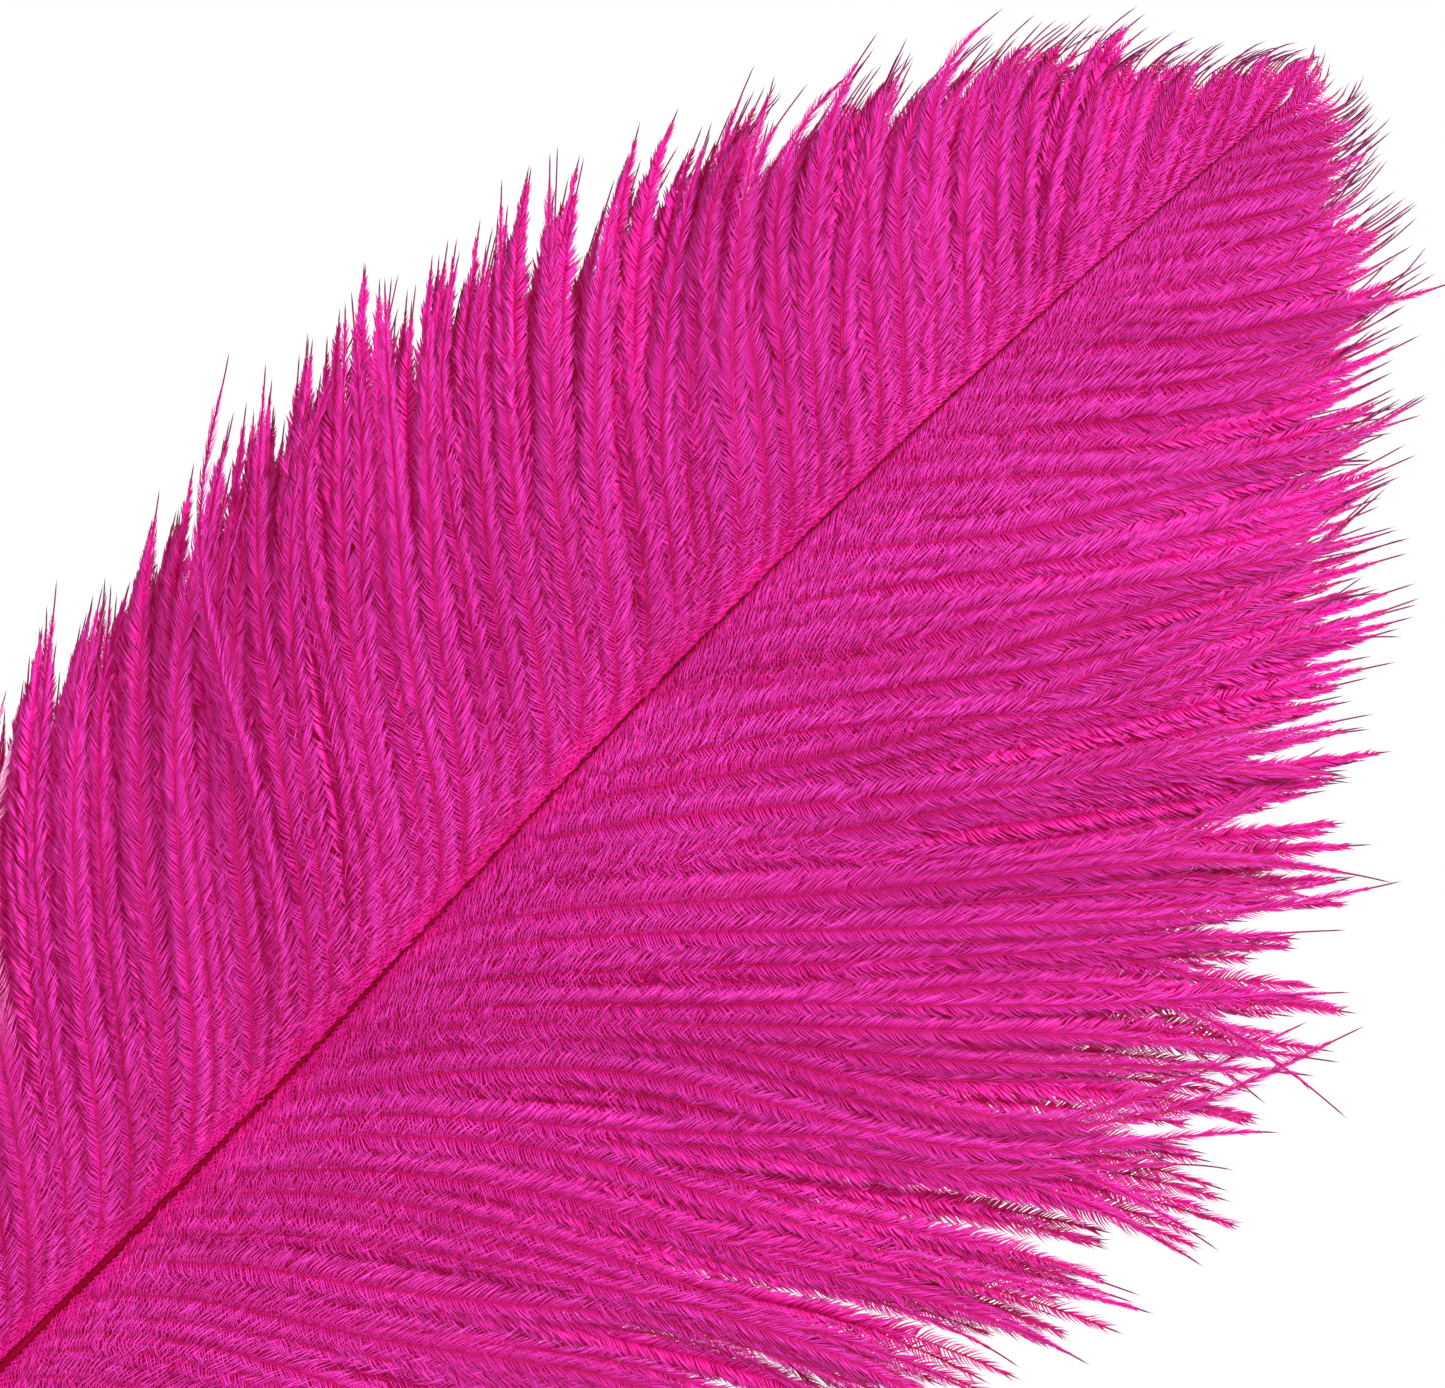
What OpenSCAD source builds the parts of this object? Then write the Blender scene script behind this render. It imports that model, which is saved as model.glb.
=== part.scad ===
// Ostrich plume: one long dyed wing feather on its own cut quill.
// All sizes are in millimetres. +Z runs up the shaft from the cut end of the quill to the tip,
// -Y is the front of the feather, and +X is its broad side. The origin is the middle of the cut end.
// The vanes are made of barbs that leave both sides of the shaft at a narrow angle, swing outwards,
// and curl back towards the tip. Each barb is a solid of its own.

/* [Overall] */
// Length from the cut end of the quill to the end of the last barbs
plume_len = 355; // [335:5:380]
// Colour of the dyed barbs
barb_colour = "deeppink"; // [deeppink, mediumvioletred, hotpink]

/* [Quill] */
// Outer radius of the bare quill
quill_r = 1.6; // [1.4:0.1:1.8]
// Thickness of the quill's horny wall
quill_wall = 0.4; // [0.3:0.05:0.5]
// Height at which the hollow quill ends and the shaft begins
quill_len = 46; // [42:1:48]
// Depth of the clear hollow in the cut end, below the narrower throat that holds the pith caps
hollow_depth = 30; // [20:1:32]
// Number of dry pith caps left inside the quill
cap_count = 5; // [3:1:6]

/* [Shaft] */
// How far the shaft stops short of the end of the last barbs
shaft_stop = 8; // [6:1:10]
// Depth of the shaft, front to back, at its end
shaft_end_d = 0.45; // [0.4:0.05:0.6]
// Width of the shaft as a share of its depth, above the quill
shaft_slim = 0.75; // [0.7:0.05:1]
// Share of the shaft's thickness that is pith
pith_share = 0.6; // [0.4:0.05:0.7]
// How far the shaft leans to the narrow side, at its most
shaft_sway = 2.2; // [0:0.1:4]
// How far the tip leans to the broad side
tip_lean = 3.5; // [0:0.5:8]
// How far the tip droops to the back
tip_droop = 28; // [0:1:40]

/* [Vanes] */
// Barbs on each side of the shaft, shared evenly by the zones
barbs_per_side = 120; // [64:8:120]
// Zones, and so nodes, on each side
zones = 8; // [8]
// Height at which the vanes begin above the down
vane_start = 70; // [66:1:74]
// Height at which the barbs of the tip take over from the vanes
vane_end = 340; // [332:1:342]
// Share of the room between two barbs that a barb fills
barb_fill = 0.7; // [0.4:0.05:0.75]
// Thickness of a barb
barb_thick = 0.4; // [0.3:0.05:0.6]
// How far the barbs bulge to the front beside the shaft
front_bulge = 4; // [0:0.5:6]
// How far the end of the longest barb falls to the back
back_fall = 24; // [0:1:30]

/* [Down] */
// Downy barbs on each side at the foot of the vanes
down_per_side = 12; // [6:1:14]

/* [Hidden] */
// What the barbs do at evenly spaced stations from vane_start to vane_end: how long they are,
// the angle from the shaft that they swing out to, and the angle that they end at.
LEFT_LEN = [44, 92, 93, 86, 71, 50, 18];
LEFT_OUT = [70, 58, 57, 57, 57, 52, 24];
LEFT_END = [80, 36, 38, 36, 18, 18, 6];
RIGHT_LEN = [48, 104, 134, 120, 90, 60, 21];
RIGHT_OUT = [74, 58, 50, 45, 43, 46, 26];
RIGHT_END = [95, 66, 48, 31, 24, 19, 6];

LEFT = -1;
RIGHT = 1;
root_angle = 18;        // angle between the shaft and a barb where it leaves the shaft
swing_share = 0.1;      // share of a barb's length in which it swings out
curl_power = 1.6;       // how late along a barb its end curls
barb_steps = 8;         // straight stretches along a barb
step_power = 1.4;       // how much shorter the stretches are towards the root
longest_barb = max(concat(LEFT_LEN, RIGHT_LEN));
length_spread = 0.1;    // how much shorter than its station's length a barb may be
root_w = 0.25;          // width of a barb at its root
root_sink = 0.05;       // depth that a barb's root is sunk into the shaft
shaft_base_d = 2 * quill_r;
taper_power = 1.7;      // how early the shaft thins towards its end
slim_share = 0.1;       // share of the shaft in which it turns from round to slim
shaft_end = plume_len - shaft_stop;
shaft_rings = 36;
shaft_sides = 16;
pith_sides = 8;
groove_depth = 0.3;     // share of the shaft's depth taken by the groove along its back
bend_start = 0.45;      // share of the length at which the shaft starts to bend sideways
droop_start = 0.25;     // share of the length at which the shaft starts to droop
tip_barbs_per_side = 3;
tip_len = [15, 9];      // length of the lowest and highest barb of the tip
tip_out = [23, 18];     // angle that they swing out to
tip_curl = [6, 3];      // angle that they end at
down_len = [14, 40];    // length of the lowest and highest downy barb
down_out = [84, 72];    // angle that they swing out to
down_end = [112, 88];   // angle that they end at
down_start = quill_len + 3;
throat_r = quill_r - quill_wall - 0.2;
barb_pitch = (vane_end - vane_start) / barbs_per_side;
zone_barbs = barbs_per_side / zones;
fine = 48;

// ---- curves ----

function clamp(x) = min(max(x, 0), 1);

function mix(pair, t) = pair[0] + (pair[1] - pair[0]) * t;

// A smooth curve through evenly spaced values, read at share t of the way along.
function station(values, t) =
    let (last = len(values) - 1,
         at = clamp(t) * last,
         i = min(floor(at), last - 1),
         s = at - i,
         a = values[max(i - 1, 0)],
         b = values[i],
         c = values[i + 1],
         d = values[min(i + 2, last)])
    (2 * b + (c - a) * s + (2 * a - 5 * b + 4 * c - d) * s * s
     + (3 * b - a - 3 * c + d) * s * s * s) / 2;

// The middle of the shaft at height z.
function shaft_x(z) =
    let (t = clamp((z / plume_len - bend_start) / (1 - bend_start)))
    tip_lean * pow(t, 4) - shaft_sway * sin(180 * t);

function shaft_y(z) =
    tip_droop * pow(clamp((z / plume_len - droop_start) / (1 - droop_start)), 2.2);

function shaft_point(z) = [shaft_x(z), shaft_y(z), z];

// The sideways heading of the shaft at height z, in degrees from +Z.
function shaft_heading(z) = atan((shaft_x(z + 1) - shaft_x(z - 1)) / 2);

// How far along the shaft height z is, from 0 at the quill to 1 at the shaft's end.
function shaft_share(z) = clamp((z - quill_len) / (shaft_end - quill_len));

function shaft_depth(z) = mix([shaft_end_d, shaft_base_d], pow(1 - shaft_share(z), taper_power));

function shaft_width(z) = shaft_depth(z) * mix([1, shaft_slim], clamp(shaft_share(z) / slim_share));

// ---- shaft ----

// One ring of the shaft: an oval, with a groove down the back, which is on its +Y side.
function shaft_ring(z, share, sides, groove) =
    let (middle = shaft_point(z))
    [for (i = [0:sides - 1])
        let (a = 360 * i / sides, dip = abs(a - 90) < 1 ? groove : 0)
        middle + share / 2 * [shaft_width(z) * cos(a), shaft_depth(z) * sin(a) * (1 - dip), 0]];

// A solid through a list of rings that all have the same number of points.
module loft(rings, sides) {
    count = len(rings);
    polyhedron(
        points = [for (ring = rings) each ring],
        faces = concat(
            [[for (i = [0:sides - 1]) i]],
            [for (k = [0:count - 2], i = [0:sides - 1])
                let (j = (i + 1) % sides)
                each [[k * sides + i, (k + 1) * sides + i, (k + 1) * sides + j],
                      [k * sides + i, (k + 1) * sides + j, k * sides + j]]],
            [[for (i = [sides - 1:-1:0]) (count - 1) * sides + i]]
        )
    );
}

module shaft_solid(share, sides, groove, from, to) {
    loft([for (k = [0:shaft_rings])
             shaft_ring(from + (to - from) * k / shaft_rings, share, sides, groove)],
         sides);
}

// The quill: a clear hollow up to hollow_depth, and a narrower throat above it.
module calamus() {
    color("mediumvioletred")
    difference() {
        cylinder(r = quill_r, h = quill_len, $fn = fine);
        translate([0, 0, -1])
            cylinder(r = quill_r - quill_wall, h = hollow_depth + 1, $fn = fine);
        cylinder(r = throat_r, h = quill_len + 1, $fn = fine);
    }
}

// Thin cups, open downwards, stacked in the throat of the quill.
module pith_caps() {
    outer = throat_r - 0.05;
    wall = 0.15;
    pitch = (quill_len - hollow_depth - 2) / cap_count;
    color("mistyrose")
    for (i = [0:cap_count - 1])
        translate([0, 0, hollow_depth + 1 + i * pitch])
            rotate_extrude($fn = fine)
                polygon([[outer, 0], [outer, pitch * 0.5], [outer * 0.6, pitch * 0.8],
                         [0, pitch * 0.8], [0, pitch * 0.8 - wall],
                         [outer * 0.55, pitch * 0.8 - wall], [outer - wall, pitch * 0.45],
                         [outer - wall, 0]]);
}

module rachis_cortex() {
    color("crimson")
    difference() {
        shaft_solid(1, shaft_sides, groove_depth, quill_len, shaft_end);
        shaft_solid(pith_share, pith_sides, 0, quill_len - 0.5, shaft_end - 20);
    }
}

module rachis_medulla() {
    color("mistyrose")
        shaft_solid(pith_share - 0.04, pith_sides, 0, quill_len, shaft_end - 21);
}

// ---- barbs ----

// The angle between the shaft and a barb at share u of the barb's length.
function barb_angle(u, out, end) =
    root_angle + (out - root_angle) * (1 - exp(-u / swing_share)) + (end - out) * pow(u, curl_power);

// The share of a barb's length that its first k stretches take up.
function step_share(k) = pow(k / barb_steps, step_power);

// How far a barb stands behind its root: it bulges to the front, then falls to the back.
function barb_depth(u, long) =
    back_fall * (long / longest_barb) * u * u - 4 * front_bulge * (long / longest_barb) * u * (1 - u);

// The middle line of a barb, from its root on one side of the shaft to its end. Side 0 is a barb
// that carries the shaft straight on.
function barb_line(side, z, long, out, end) =
    let (heading = shaft_heading(z),
         root = shaft_point(z) + [side * ((shaft_width(z) + root_w) / 2 - root_sink), 0, 0])
    [for (k = 0, a = 0, stretch = 0, x = root[0], h = z;
          k <= barb_steps;
          k = k + 1,
          a = heading + side * barb_angle((step_share(k - 1) + step_share(k)) / 2, out, end),
          stretch = long * (step_share(k) - step_share(k - 1)),
          x = x + stretch * sin(a),
          h = h + stretch * cos(a))
        [x, root[1] + barb_depth(step_share(k), long), h]];

// The part of the step from p to q that is square to the direction along.
function sideways(p, q, along) = norm((q - p) - ((q - p) * along) * along);

// A flat, pointed solid along a line: a lozenge at each point, and a single point at the end.
// Its width is a share of the room between its line and the next barb's.
module barb(line, next) {
    last = len(line) - 1;
    rings = [for (k = [0:last - 1])
        let (u = step_share(k),
             ahead = line[k + 1] - line[max(k - 1, 0)],
             along = ahead / norm(ahead),
             across = cross(along, [0, 1, 0]) / norm(cross(along, [0, 1, 0])),
             up = cross(across, along),
             full = barb_fill * sideways(line[k], next[k], along) * (1 - pow(u, 3)),
             half = mix([root_w, full], clamp(u / swing_share)) / 2,
             thick = barb_thick / 2 * (1 - 0.7 * u))
        each [line[k] + across * half, line[k] + up * thick,
              line[k] - across * half, line[k] - up * thick]];
    tip = last * 4;
    polyhedron(
        points = concat(rings, [line[last]]),
        faces = concat(
            [[0, 1, 2, 3]],
            [for (k = [0:last - 2], i = [0:3])
                let (j = (i + 1) % 4)
                each [[k * 4 + i, (k + 1) * 4 + i, (k + 1) * 4 + j],
                      [k * 4 + i, (k + 1) * 4 + j, k * 4 + j]]],
            [for (i = [0:3]) [(last - 1) * 4 + i, tip, (last - 1) * 4 + (i + 1) % 4]]
        )
    );
}

// The line of the vane barb that is share t of the way up one side.
function vane_line(side, t, shorter) =
    barb_line(side, mix([vane_start, vane_end], t),
              station(side == LEFT ? LEFT_LEN : RIGHT_LEN, t) * (1 - shorter),
              station(side == LEFT ? LEFT_OUT : RIGHT_OUT, t),
              station(side == LEFT ? LEFT_END : RIGHT_END, t));

// The line of the downy barb that is share t of the way up one side.
function down_line(side, t) =
    barb_line(side, mix([down_start, vane_start], t), mix(down_len, t), mix(down_out, t),
              mix(down_end, t));

// The line of the tip's barb that is share t of the way up one side.
function tip_line(side, t) =
    barb_line(side, mix([vane_end, shaft_end], t), mix(tip_len, t), mix(tip_out, t),
              mix(tip_curl, t));

// The barbs of one zone on one side, from the quill up.
module vane_zone(side, zone) {
    shorter = rands(0, length_spread, zone_barbs, 10 + side + 3 * zone);
    color(barb_colour)
    for (i = [0:zone_barbs - 1]) {
        t = (zone * zone_barbs + i + 0.5) / barbs_per_side;
        barb(vane_line(side, t, shorter[i]), vane_line(side, t + 1 / barbs_per_side, shorter[i]));
    }
}

// The short, wide-standing barbs between the quill and the vane on one side.
module down(side) {
    color(barb_colour)
    for (i = [0:down_per_side - 1])
        barb(down_line(side, i / down_per_side), down_line(side, (i + 1) / down_per_side));
}

// The last barbs: a few on each side of the shaft's end, and one that carries the shaft on.
module tip_barbs() {
    count = tip_barbs_per_side;
    color(barb_colour) {
        for (side = [LEFT, RIGHT], i = [0:count - 1])
            barb(tip_line(side, (i + 0.3) / count), tip_line(side, (i + 1.3) / count));
        barb(barb_line(0, shaft_end, shaft_stop, 0, 0),
             barb_line(RIGHT, shaft_end, shaft_stop, root_angle, 0));
    }
}

calamus();
pith_caps();
rachis_cortex();
rachis_medulla();
down(LEFT);  // left_down
down(RIGHT);  // right_down
tip_barbs();
for (i = [1:zones]) {
    vane_zone(LEFT, i - 1);
    vane_zone(RIGHT, i - 1);
}
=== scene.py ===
"""A long ostrich wing plume, dyed hot pink, standing upright on its cut quill.

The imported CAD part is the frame. Each CAD barb node is replaced by a piece of real barbs: thin
tapering stems that carry two rows of fine barbules each. Lengths are in millimetres until a mesh
or a camera is made, and angles are in degrees.
"""

import bpy
import numpy as np
from mathutils import Matrix, Vector


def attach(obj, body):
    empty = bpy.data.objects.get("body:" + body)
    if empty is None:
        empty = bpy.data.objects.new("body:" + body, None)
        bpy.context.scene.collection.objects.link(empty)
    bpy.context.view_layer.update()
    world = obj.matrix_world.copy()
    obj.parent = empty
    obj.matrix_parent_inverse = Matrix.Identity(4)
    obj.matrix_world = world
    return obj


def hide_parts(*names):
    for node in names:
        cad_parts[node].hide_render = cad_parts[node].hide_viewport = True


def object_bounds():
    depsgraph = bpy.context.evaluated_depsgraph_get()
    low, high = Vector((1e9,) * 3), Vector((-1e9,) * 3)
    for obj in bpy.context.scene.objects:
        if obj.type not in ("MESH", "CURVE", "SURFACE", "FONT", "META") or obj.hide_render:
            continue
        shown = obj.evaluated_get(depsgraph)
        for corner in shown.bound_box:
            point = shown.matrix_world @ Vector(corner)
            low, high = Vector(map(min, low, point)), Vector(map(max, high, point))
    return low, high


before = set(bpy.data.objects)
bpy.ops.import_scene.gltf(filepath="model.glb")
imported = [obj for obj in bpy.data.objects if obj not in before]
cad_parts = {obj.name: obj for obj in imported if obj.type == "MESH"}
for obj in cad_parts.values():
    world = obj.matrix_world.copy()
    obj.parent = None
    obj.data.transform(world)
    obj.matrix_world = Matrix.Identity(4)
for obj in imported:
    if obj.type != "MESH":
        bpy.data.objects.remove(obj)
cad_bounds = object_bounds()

MM = 0.001
LEFT, RIGHT = -1, 1
FRONT = np.array([0.0, -1.0, 0.0])

# ---- what drives the looks: where the barbs run ----

SEED = 11
LINE_POINTS = 97            # points along every barb's middle line
VANE_ZONES = 8              # CAD nodes on each side of the shaft
BARB_SHARES = (0, 0.5)      # where the real barbs of a CAD barb start on the way to the next
UNDER_SHARES = (0.25, 0.75)     # and where the barbs of the lower layer start

LOCK_SIZES = (2, 3, 4, 5, 6)    # barbs that cling together in one lock
CLING = (0.45, 0.85)        # how closely a lock's barbs join, least and most
CLING_FROM, LATE_CLING_FROM = (0.03, 0.6), (0.7, 1)     # shares of a barb over which they join
EVEN_AT, EVEN = [180, 260], [0.35, 0.8]     # share of the right barbs' joining that isn't late
STRAY_SHARE = 0.06          # barbs that leave their lock
STRAY_CLING = 0.2           # how closely those still follow it
LOCK_WAVE = 2.6             # how far a lock strays sideways at its end
LOCK_SWING = 0.7 * LOCK_WAVE    # how far it swings to and fro on the way there
SWINGS = 2.2                # half turns of that swing
LOCK_DEPTH = 1.3            # how far a lock strays to the front or back at its end
LOCK_ROLL = (14, 13)        # how far its barbs are rolled about their stems: mean and spread
BARB_ROLL = 10              # spread of that within a lock
BARB_WAVE, STRAY_WAVE = 0.35, 0.8   # how far one barb strays sideways, and a stray barb besides
BARB_DEPTH = 0.5            # how far one barb strays to the front or back
TUFT_SIZE = 14              # barbs that stray together, in neighbouring locks
TUFT_WAVE = 3.0             # how far they stray sideways at their ends
WANDER = {LEFT: 1.0, RIGHT: 1.4}    # how much more the barbs of a side stray
LEAD_FORWARD = (0.3, 1.1)   # how far the leading barb of a lock stands to the front
REST_FORWARD = -0.35        # and the others
FORWARD_FROM = (0, 0.12)    # shares of a barb over which it gets there
LONG_LINE = 100             # a barb this long strays that far, and a shorter one less

LEAD_REACH = (1.0, 1.08)    # length of the locks' leading barbs, as a share of their lines
REST_REACH = (0.92, 1.04)   # and of the other barbs
UNDER_REACH = (0.95, 1.05)  # and of the lower layer
FAN_AT, FAN = [140, 230, 270, 340], [0.05, 0.0, 0.0, 0.06]  # added on the right, by root height
OVERHANG = 9.0              # how far sideways the barbs may stand out of the CAD model

UNDER_DEPTH = (1.0, 2.6)    # how far the lower layer lies to the back
UNDER_DEPTH_FROM = (0, 0.15)    # shares of a barb over which it gets there
UNDER_WAVE = 0.9            # how far its barbs stray sideways at their ends
UNDER_ROLL = 12             # spread of their roll

CURL_START = 0.72           # share of a barb at which its end starts to curl
CURL_AT = [80, 160, 240, 340]   # heights of the roots, and how far the ends there curl to the tip
LEFT_CURL = [0, 0, 1.0, 8.0]
RIGHT_CURL = [-3.5, -2.5, 0.8, 4.0]
LEFT_SPREAD, RIGHT_SPREAD, UNDER_SPREAD = 1.0, 2.2, 0.5     # spread of that
BARB_CURL = 0.3             # share of it that each barb of a lock has of its own
TUFT_GATHER = 0.8           # how closely the barbs at the very tip gather
TUFT_GATHER_FROM = (0, 0.8)     # shares of a barb over which they do

SKIN_SIDES = 16             # points in a ring of the shaft's skin; its pith has fewer
SEEN_AT = [110, 130, 170, 210, 330]     # heights, and half the shaft's width that shows there
SEEN = [0.40, 0.34, 0.17, 0.10, 0.05]
ROOT_LEAN = 36.0            # angle at which the barbs leave the shaft, at least
ROOT_DIP = 6.0              # length over which a barb leaves its seat on the shaft
INNER_SEAT = 0.5            # share of the shaft's half width at which the lower barbs start
INNER_ROOM = 0.4            # share of it that their barbules may cross beyond the middle
LEAST_ROOM = 0.05           # the least reach of the upper barbules towards the shaft

# Two places that the pale barbs pass, how far each one is shifted from them to the right and up,
# how far they stand to the front of the others, and the shares of a barb over which they do.
PALE_PATH = np.array([(-45.7, 153.0), (-61.9, 168.9)])
PALE_ASIDE = (0.2, -0.5)
PALE_LIFT = 3.0
PALE_LIFT_FROM = (0, 0.3)

# ---- what drives the looks: stems and barbules ----

STEM_RADIUS = [0.18, 0.15, 0.13, 0.13, 0.08]    # at the marks along it that follow
STEM_AT = [0.0, 0.04, 0.7, 0.9, 1.0]
STEM_STEP = 1.6             # distance between a stem's rings
STEM_RINGS = 8              # the least number of them
STEM_SIDES = 4

BARE_AT, BARE_END = [100, 250, 340], [5, 8, 12]     # bare hair at a barb's end, by root height
BARE_SPREAD = (0.4, 1.1)    # least and most share of that
BARE_PARTS, TIP_BARE_PARTS = 3, 6   # a bare end takes at most one such part of its barb
LONG_HAIR_SHARE = 0.04      # barbs that end in a longer bare hair
LONG_HAIR = 2.2             # how much longer
BARE_MARK = 0.9             # mark at which a barb's bare end starts, whatever its length

PITCH = {"lead": 0.41, "rest": 0.47, "under": 0.50}     # distance between barbules
PITCH_SPREAD = 0.25         # how far one may stand from its place, as a share of that
WIDTH = {"lead": 0.21, "rest": 0.21, "under": 0.60}     # width of a barbule
SHORT_WIDTH = {"lead": 0.13, "rest": 0.13, "under": 0.17}   # at most, as a share of its length
OUTER_WIDTH = 0.75          # width at an upper barb's end, as a share of that
OUTER_WIDTH_FROM = [0.3, 1]     # shares of a barb over which it narrows
BARBULE_THICK = 0.45        # as a share of its width
RIPPLE_STEP = 1.4           # distance over which neighbouring barbules lie alike

# The barbules' length by distance from the barb's root, and their share of it by distance from
# the barb's bare end.
ROOT_AT, ROOT_LENGTH = [0, 2, 6, 20], [2.0, 2.6, 3.2, 3.8]
END_AT, END_SHARE = [0, 4, 10, 20], [0.22, 0.5, 0.8, 1.0]
FULL_BARB = 45.0            # a shorter barb has shorter barbules
TAPER_BARB = 70.0           # a shorter barb tapers over a shorter way
LENGTH_SPREAD = (0.88, 1.08)    # least and most share of that length
LENGTH_RIPPLE = 0.08        # how much neighbours are longer or shorter together

# The power of the end's share on the right, by root height, where less is blunter. The first is
# the least, and the pairs below are for barbs that are as blunt as that and for full ones.
BLUNT_AT, BLUNT = [120, 170, 230], [0.4, 0.5, 1.0]
LEFT_BLUNT = 0.85
TOP_BLUNT = 0.8             # the least in the upper layer
UNDER_END = 0.65, 0.25      # the least end's share in the lower layer
UNDER_BARE = 0.5, 0.9       # its bare ends, as a share of the upper layer's
UNDER_WIDE = 0.9, 0.7       # share of a barb up to which its barbules stand wide
GAUZE = 0.3, 1.0            # how thin its barbules get, as a share of their width
GAUZE_FROM = [0.72, 0.92]   # shares of a barb over which they do

# The barbules' angle to the stem, from the barb's root (0) to its end (1).
ALONG = [0.0, 0.08, 0.18, 0.40, 0.65, 0.85, 1.0]
BARBULE_ANGLE = {
    LEFT: [62, 60, 54, 47, 36, 22, 11],
    RIGHT: [84, 82, 72, 54, 38, 22, 12],
}
UNDER_ANGLE = 42            # the least in the lower layer, where it stands wide
BLUNT_ANGLE = 10            # how much wider it stands at the bluntest ends
BLUNT_ANGLE_FROM = (0.4, 0.9)   # shares of a barb over which it does
LEAST_ANGLE = 3             # the least between a barbule and the shaft
ANGLE_SPREAD, ANGLE_RIPPLE = 2.5, 7     # for one barbule, and for neighbours together

# How far the barbules are raised to the front over their first half, and fall over the second.
LIFT, LIFT_FROM = 14, (2, 10)   # the upper row's lift, and the distances over which it comes
LOW_LIFT = 4                # the lift of all other rows
RAISE_SPREAD, RAISE_RIPPLE = 8, 14
FALL, FALL_SPREAD = 28, 5
FIRST_PART = 0.45           # share of a barbule before its bend
SECOND_ANGLE = 0.7          # its angle beyond the bend, as a share of the first
SECOND_WIDTH = 0.8          # its width at the bend, as a share of the first

# ---- what drives the looks: colours and UV layout ----

STRIPS = 72                 # rows of the UV layout, one for each barb of a piece
STEM_STRIP = 0.03           # half a stem's width in its strip, as a share of the strip
BARBULE_STRIP = np.array([0.04, 0.04, 0.04, 0.24, 0.24, 0.24, 0.46])    # a barbule's points
BARBULE_TONES = 240         # changes of tone along a barb
PAINTED_GLOW = 0.09                 # painted glow: a faint crimson emission that stands in for light coming through the thin barbs
STREAK = 0.03               # how much a horn's grain is drawn out along the shaft
WHITE, BLACK = (1, 1, 1), (0, 0, 0)


# ---- lines read from the frame ----

def node_graph(node):
    """The corner points of a CAD node in mm, and the points that each one is joined to."""
    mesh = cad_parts[node].data
    raw = np.empty(len(mesh.vertices) * 3)
    mesh.vertices.foreach_get("co", raw)
    points, index = np.unique(np.round(raw.reshape(-1, 3) / MM, 4), axis=0, return_inverse=True)
    index = index.ravel()
    links = [set() for _ in points]
    for edge in mesh.edges:
        a, b = (int(index[v]) for v in edge.vertices)
        if a != b:
            links[a].add(b)
            links[b].add(a)
    return points, links


def layers_from(start, links):
    """The points around start, layer by layer, until its solid ends."""
    layers, seen = [{start}], {start}
    while layers[-1]:
        ring = set().union(*(links[i] for i in layers[-1])) - seen
        seen |= ring
        layers.append(ring)
    return layers[:-1], seen


def barb_lines(node):
    """The middle line of each barb solid of a CAD node, from root to end."""
    points, links = node_graph(node)
    nearest = [min(np.linalg.norm(points[j] - points[i]) for j in links[i])
               for i in range(len(points))]
    lines, left = [], set(range(len(points)))
    while left:
        _, solid = layers_from(next(iter(left)), links)
        left -= solid
        tip = max(solid, key=lambda i: nearest[i])
        rings, _ = layers_from(tip, links)
        lines.append(smooth_line(np.array([points[list(r)].mean(axis=0) for r in rings[::-1]])))
    return lines


def smooth_line(points):
    """LINE_POINTS evenly spaced points on a smooth curve through points."""
    at = np.concatenate([[0], np.cumsum(np.linalg.norm(np.diff(points, axis=0), axis=1))])
    slope = np.gradient(points, at, axis=0)
    want = np.linspace(0, at[-1], LINE_POINTS)
    i = np.clip(np.searchsorted(at, want, side="right") - 1, 0, len(at) - 2)
    span = (at[i + 1] - at[i])[:, None]
    t = (want - at[i])[:, None] / span
    return ((1 + 2 * t) * (1 - t) ** 2 * points[i] + t * (1 - t) ** 2 * span * slope[i]
            + t * t * (3 - 2 * t) * points[i + 1] + t * t * (t - 1) * span * slope[i + 1])


class Shaft:
    """The shaft's middle and half width at any height, read from its CAD node."""

    def __init__(self, node):
        points, _ = node_graph(node)
        heights = np.round(points[:, 2], 2)
        rings = [points[heights == z] for z in np.unique(heights)]
        rings = [r for r in rings if len(r) >= SKIN_SIDES]
        self.z = np.array([r[0, 2] for r in rings])
        self.x = np.array([(r[:, 0].min() + r[:, 0].max()) / 2 for r in rings])
        self.half = np.array([np.ptp(r[:, 0]) / 2 for r in rings])
        self.y = np.array([(r[:, 1].min() + r[:, 1].max()) / 2 for r in rings])
        self.half_depth = np.array([np.ptp(r[:, 1]) / 2 for r in rings])

    def room(self, points, inside):
        """How far sideways barbules may reach from points, into the shaft or up to its strip."""
        gap = np.abs(points[:, 0] - np.interp(points[:, 2], self.z, self.x))
        if inside:
            return gap + INNER_ROOM * np.interp(points[:, 2], self.z, self.half)
        return np.maximum(gap - np.interp(points[:, 2], SEEN_AT, SEEN), LEAST_ROOM)

    def seat(self, line, side, inside):
        """The line with its root moved into the shaft, or onto its skin beside its strip."""
        x, y, z = line[0]
        middle, half, centre, depth = (np.interp(z, self.z, v)
                                       for v in (self.x, self.half, self.y, self.half_depth))
        strip = np.interp(z, SEEN_AT, SEEN)
        aside = INNER_SEAT * half if inside else min(strip + STEM_RADIUS[0], half)
        front = 0 if inside else depth * np.sqrt(1 - (aside / half) ** 2)
        near = 1 - rise(np.linalg.norm(line - line[0], axis=1), 0, ROOT_DIP)
        return line + near[:, None] * np.array([middle + side * aside - x, centre - front - y, 0])


shaft = Shaft("rachis_cortex")


# ---- where the real barbs run ----

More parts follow.
